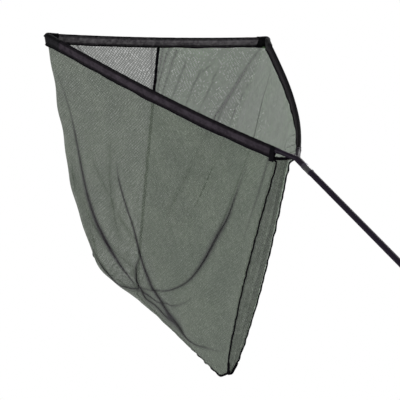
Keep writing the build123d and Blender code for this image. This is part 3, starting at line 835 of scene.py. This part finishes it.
def sleeve_set(word, path, drop, seed, node, material=SLEEVE):
    """A sleeve with its piped lower edge, its seam along the top and its stitching."""
    cloth, lower, side, top = wrapped(
        f"{word}_sleeve_cloth", path, drop, material, seed, replaces=(node,), slot="sleeve_cloth"
    )
    piping = tube(
        f"{word}_sleeve_piping",
        lower - top * 0.0012,
        oval(0.0062, 0.0058),
        TAPE,
        up=RIM_UP,
        scale=1 + 0.10 * ripple(seed + 5, np.arange(len(lower)) * 0.004, scale=0.03),
        slot="binding_tape",
    )
    ridge = tube(
        f"{word}_sleeve_ridge",
        path + top * 0.0074,
        oval(0.0066, 0.0026),
        TAPE,
        up=RIM_UP,
        scale=1 + 0.12 * ripple(seed + 6, np.arange(len(path)) * 0.004, scale=0.05),
        slot="binding_tape",
    )
    for sign in (1, -1):
        line = lower + top * 0.0052 + side * sign * 0.0021
        which = "outer" if sign > 0 else "inner"
        stitches(f"{word}_sleeve_stitches_{which}", line, side * sign, slot="binding_tape")
    return cloth


def make_sleeves():
    for side, word in ((1, "left"), (-1, "right")):
        hem_end = SLEEVE_START + HEM_LENGTH
        path = arm_path(hem_end, SLEEVE_END + 0.012, side)
        sleeve_set(
            f"{word}_arm", path, ARM_SLEEVE_DROP, 31 if side > 0 else 47,
            f"{word}_arm_sleeve",
        )
        hem_path = arm_path(SLEEVE_START, hem_end + HEM_LENGTH, side, step=0.0016)
        hem, _, _, _ = wrapped(
            f"{word}_sleeve_end", hem_path, SLEEVE_END_DROP, TAPE, 71, growth=0.0011, slack=0.2,
            replaces=(f"{word}_sleeve_hem",), slot="binding_tape",
        )
    half = TIP_Y - CORD_SLEEVE_START
    path = cord_path(half, -half)
    sleeve_set(
        "front_cord", path, CORD_SLEEVE_DROP, 59, "front_cord_sleeve",
        material=FRONT_SLEEVE,
    )


def pocket_path(side):
    """Round the corner of the rim: along the arm's end, round its tip and on to the cord."""
    x, y, _ = arm_at(np.linspace(ARM_LENGTH - POCKET_ALONG_ARM, ARM_LENGTH - 0.022, 10))
    turn = [
        (TIP_X - 0.006, TIP_Y + 0.0005), (TIP_X + 0.0015, TIP_Y + 0.0005), (TIP_X + 0.0025, TIP_Y - 0.008),
    ]
    back = [(TIP_X, TIP_Y - d) for d in np.linspace(0.022, POCKET_ALONG_CORD, 5)]
    line = curve_through(np.array([*zip(x, y), *turn, *back]), 64)
    return rim(line[:, 0], line[:, 1] * side, 0.001 + 0 * line[:, 0])


def make_pockets():
    for side, word in ((1, "left"), (-1, "right")):
        path = pocket_path(side)
        if side < 0:
            path = path[::-1]
        share = np.linspace(0, 1, len(path))
        near_tip = np.exp(-(((share if side > 0 else 1 - share) - 0.56) / 0.20) ** 2)
        pocket, lower, _, top = wrapped(
            f"{word}_corner_pocket_cloth", path, POCKET_DROP, CORNER, 83 + side, growth=0.0013, slack=0.5,
            taper=1 + POCKET_SPREAD * near_tip, replaces=(f"{word}_corner_pocket",), slot="corner_cloth",
        )
        edge = lower - top * (POCKET_DROP * POCKET_SPREAD * near_tip)[:, None]
        binding = tube(
            f"{word}_pocket_binding", edge, oval(0.0070, 0.0060), TAPE, up=RIM_UP, slot="binding_tape"
        )


make_sleeves()
make_pockets()


# ---- rear gusset, seams and knot -----------------------------------------------------------
def seam(name, path, width, height, seed, up=(0, 1, 0), wobble=0.0008, **how):
    """A rolled and bound seam along a path, slightly uneven."""
    path = np.asarray(path, float)
    run = np.concatenate([[0], np.cumsum(np.linalg.norm(np.diff(path, axis=0), axis=1))])
    path = path + np.stack([ripple(seed + k, run, scale=0.06) for k in range(3)], -1) * wobble
    size = 1 + 0.16 * ripple(seed + 3, run, scale=0.035)
    return tube(name, path, oval(width, height, 12), TAPE, up=up, scale=size, slot="binding_tape", **how)


def even_path(points, step=0.004):
    points = np.asarray(points, float)
    run = np.concatenate([[0], np.cumsum(np.linalg.norm(np.diff(points, axis=0), axis=1))])
    at = np.linspace(0, run[-1], int(run[-1] / step) + 1)
    return np.stack([np.interp(at, run, points[:, k]) for k in range(3)], -1)


REAR_EDGE = base_half()[:, 0]


def make_gusset():
    """The narrow gathered strip between the two rear seams."""
    rows, columns = 190, 26
    z = np.linspace(NET_TOP - 0.004, REAR_CORNER[1] - 0.006, rows)[:, None]
    across = np.linspace(-1, 1, columns)[None]
    y = across * (half_width(z) + 0.001)
    down = (z - NET_TOP) / (REAR_CORNER[1] - NET_TOP)
    folds = np.sin(across * 9.0 + 1.2 * np.sin(down * 5) + 0.7) * 0.0035
    folds = folds + ripple(5, y, z * 0.25, scale=0.05) * 0.002
    edge = smooth((1 - np.abs(across)) / 0.2)
    x = GUSSET_X + mix(0.004, 0.007, down) + folds * edge + 0 * z
    points = np.stack([APEX_X + x, y + 0 * z, z + 0 * across], -1)
    # gather-and-shade in stripes that run with the gusset's folds; it paints shade along them
    gather_and_shade = 0.02 + 0.10 * np.abs(np.cos(across * 9.0 + 0.7)) ** 3 + 0 * z
    gusset = piece(
        "rear_gusset_netting", points, grid_faces(rows, columns), NETTING_GUSSET_PAINTED_LIGHTER, replaces=("rear_gusset",),
        uv=arc_uv(points), attributes={"gather_and_shade": gather_and_shade}, slot="netting",
    )
    for side, word in ((1, "left"), (-1, "right")):
        path = REAR_EDGE * (1, side, 1)
        seam(
                f"rear_seam_{word}_rolled", even_path(path), 0.0050, 0.0044, 101 + side, up=(1, 0, 0),
                wobble=0.0013, replaces=(f"rear_seam_{word}",),
            )


def make_throat():
    """The gathered band of the bag's neck under the block."""
    y = np.linspace(-0.040, 0.040, 30)
    z = NET_TOP - 0.0045 - 0.004 * (1 - (y / 0.040) ** 2)
    path = np.stack([np.full_like(y, APEX_X + GUSSET_X + 0.001), y, z], -1)
    tube(
        "throat_band", path, oval(0.0042, 0.0100), TAPE, up=(0, 0, 1), replaces=("throat_hem",),
        slot="binding_tape",
    )


def middle_column():
    """The bag's front edge in the middle plane, from the rim to the knot."""
    points = base_half()[:, -1]
    return np.stack([points[:, 0], 0 * points[:, 1], points[:, 2]], -1)


def make_seams():
    front = even_path(middle_column())
    front_seam = seam("front_seam_rolled", front, 0.0105, 0.0070, 121, up=(1, 0, 0), replaces=("front_seam",))
    share = np.linspace(0.0, 0.93, 200)
    bx, bz = bottom_at(share)
    path = np.stack([APEX_X + bx, 0 * bx, bz - 0.001], -1)
    bottom_seam = seam(
        "bottom_seam_rolled", even_path(path), 0.0050, 0.0064, 131, up=(0, 1, 0), wobble=0.0015,
        replaces=("bottom_seam",),
    )
    share = np.linspace(0.905, 1.0, 60)
    bx, bz = bottom_at(share)
    path = np.stack([APEX_X + bx, 0 * bx, bz], -1)
    corner = seam(
        "rear_corner_tape", even_path(path, 0.003), 0.0070, 0.0066, 141, up=(0, 1, 0),
        replaces=("rear_corner_binding",),
    )
    return front_seam, bottom_seam, corner


def make_flap():
    """The loose triangle of folded netting beside the front seam, just above the knot."""
    rows, columns = 34, 16
    seam_line = middle_column()
    down = np.linspace(0.885, 0.985, rows)
    edge = np.stack([np.interp(down * (ROWS - 1), np.arange(ROWS), seam_line[:, k]) for k in range(3)], -1)
    share = np.linspace(0, 1, rows)
    reach = np.where(share < 0.62, share / 0.62, (1 - share) / 0.38) ** 0.9
    across = np.linspace(0, 1, columns)[None]
    pleats = np.sin(across * 11 + share[:, None] * 3) * 0.0016 * across
    out = reach[:, None] * across
    points = edge[:, None] + np.stack([0.018 * out + pleats, 0.024 * out + 0 * across, -0.006 * out], -1)
    # gather-and-shade is high over the whole flap, with pleat stripes, so the flap is painted darker with
    # shade
    gather_and_shade = 0.55 + 0.25 * np.sin(across * 11 + share[:, None] * 3)
    return piece(
        "gather_flap_netting", points, grid_faces(rows, columns), NETTING, replaces=("gather_flap",),
        uv=arc_uv(points), attributes={"gather_and_shade": gather_and_shade}, slot="netting",
    )


WHIPPING_R = 0.0048
WHIPPING_LENGTH = 0.0080
WHIPPING_TURNS = 5


def make_knot():
    """The bag's gathered lower corner, bunched up and whipped with thread."""
    top = np.array([APEX_X + KNOT[0] - 0.003, 0, KNOT[1] + 0.017])
    foot = np.array([APEX_X + KNOT[0] + 0.004, 0, KNOT[1] - 0.017])
    share = np.linspace(0, 1, 30)
    path = top + (foot - top) * share[:, None]
    girth = 0.75 + 0.35 * np.cos((share - 0.5) * 4 * math.pi) * -1 + 0.12 * ripple(151, share, scale=0.4)
    angle = np.linspace(0, 2 * math.pi, 42, endpoint=False)
    radius = 0.0082 * (1 + 0.10 * np.sin(7 * angle) + 0.05 * np.sin(12 * angle + 1))
    bundle = tube(
        "knot_bundle", path, np.stack([np.cos(angle) * radius, np.sin(angle) * radius], -1), TAPE,
        up=(0, 1, 0), scale=girth, slot="netting",
    )
    turn = np.linspace(0, WHIPPING_TURNS * 2 * math.pi, 160)
    middle = (top + foot) / 2
    height = (turn / turn[-1] - 0.5) * WHIPPING_LENGTH
    coil = np.stack([np.cos(turn) * WHIPPING_R, np.sin(turn) * WHIPPING_R, height], -1) + middle
    thread = tube("knot_whipping", coil, oval(0.0016, 0.0016, 8), CORD, up=(0, 0, 1), slot="cord")
    return bundle, thread


def make_foot():
    """The tape bound round the gusset's foot."""
    z = np.linspace(-0.752, REAR_CORNER[1] - 0.006, 22)
    half = [(APEX_X + GUSSET_X + 0.004, float(half_width(h)), h) for h in z]
    path = np.array(half + [(x, -y, h) for x, y, h in half[-2::-1]])
    seam("gusset_foot_binding", even_path(path, 0.003), 0.0090, 0.0070, 161, up=(1, 0, 0))


make_throat()
make_gusset()
seams = make_seams()
flap = make_flap()
knot = make_knot()
make_foot()

# ---- light, floor and camera ---------------------------------------------------------------
def stage_material(name, seen, lit):
    """Plain white to the camera, and a softer white as a source of bounced light."""
    g = Graph(name)
    camera_ray = g.node("LightPath")
    white = g.node("Emission", {"Color": (1, 1, 1, 1), "Strength": seen})
    matt = g.node("BsdfDiffuse", {"Color": (lit, lit, lit, 1)})
    g.link(g.node("MixShader", {0: camera_ray, 1: matt, 2: white}), g.out.inputs[0])
    g.tree.nodes.remove(g.shader)
    return g.material


FLOOR_Z = -1.6
floor_mesh = bpy.data.meshes.new("floor")
reach = 90.0
floor_mesh.from_pydata(
    [(-reach, -reach, FLOOR_Z), (reach, -reach, FLOOR_Z), (reach, reach, FLOOR_Z), (-reach, reach, FLOOR_Z)],
    [],
    [(0, 1, 2, 3)],
)
floor_mesh.materials.append(stage_material("floor", 1.0, 0.75))
floor = bpy.data.objects.new("floor", floor_mesh)
bpy.context.scene.collection.objects.link(floor)

world = bpy.data.worlds.new("studio")
world.use_nodes = True
bpy.context.scene.world = world
tree = world.node_tree
background = tree.nodes["Background"]
light_path = tree.nodes.new("ShaderNodeLightPath")
brightness = tree.nodes.new("ShaderNodeMapRange")
brightness.inputs["To Min"].default_value = 0.50
brightness.inputs["To Max"].default_value = 1.0
tree.links.new(light_path.outputs["Is Camera Ray"], brightness.inputs["Value"])
tree.links.new(brightness.outputs[0], background.inputs["Strength"])
background.inputs["Color"].default_value = (1, 1, 1, 1)


def softbox(name, place, aim, size, power):
    data = bpy.data.lights.new(name, "AREA")
    data.shape = "SQUARE"
    data.size = size
    data.energy = power
    lamp = bpy.data.objects.new(name, data)
    bpy.context.scene.collection.objects.link(lamp)
    lamp.location = place
    lamp.rotation_mode = "QUATERNION"
    lamp.rotation_quaternion = (Vector(aim) - Vector(place)).to_track_quat("-Z", "Y")
    return lamp


softbox("key", (-1.5, 3.5, 4.5), (2.0, 0.0, -0.3), 3.0, 90)
softbox("side", (1.0, 6.0, -0.3), (2.2, 0.0, -0.5), 3.0, 190)
softbox("fill", (5.5, -4.0, 1.5), (2.0, 0.0, -0.3), 3.0, 120)

CAMERA_PLACE = Vector((-3.0544, 3.0602, 2.4551))
CAMERA_AIM = Vector((2.1554, 0.0186, -0.3824))
CAMERA_ROLL = math.radians(12.61)
camera_data = bpy.data.cameras.new("camera")
camera_data.sensor_width = 36
camera_data.lens = 189.8
camera_data.clip_end = 200
camera = bpy.data.objects.new("camera", camera_data)
bpy.context.scene.collection.objects.link(camera)
camera.rotation_mode = "QUATERNION"
camera.location = CAMERA_PLACE
level = (CAMERA_AIM - CAMERA_PLACE).to_track_quat("-Z", "Y").to_matrix()
camera.rotation_quaternion = (level @ Matrix.Rotation(CAMERA_ROLL, 3, "Z")).to_quaternion()
bpy.context.scene.camera = camera
bpy.context.scene.view_settings.view_transform = "Standard"
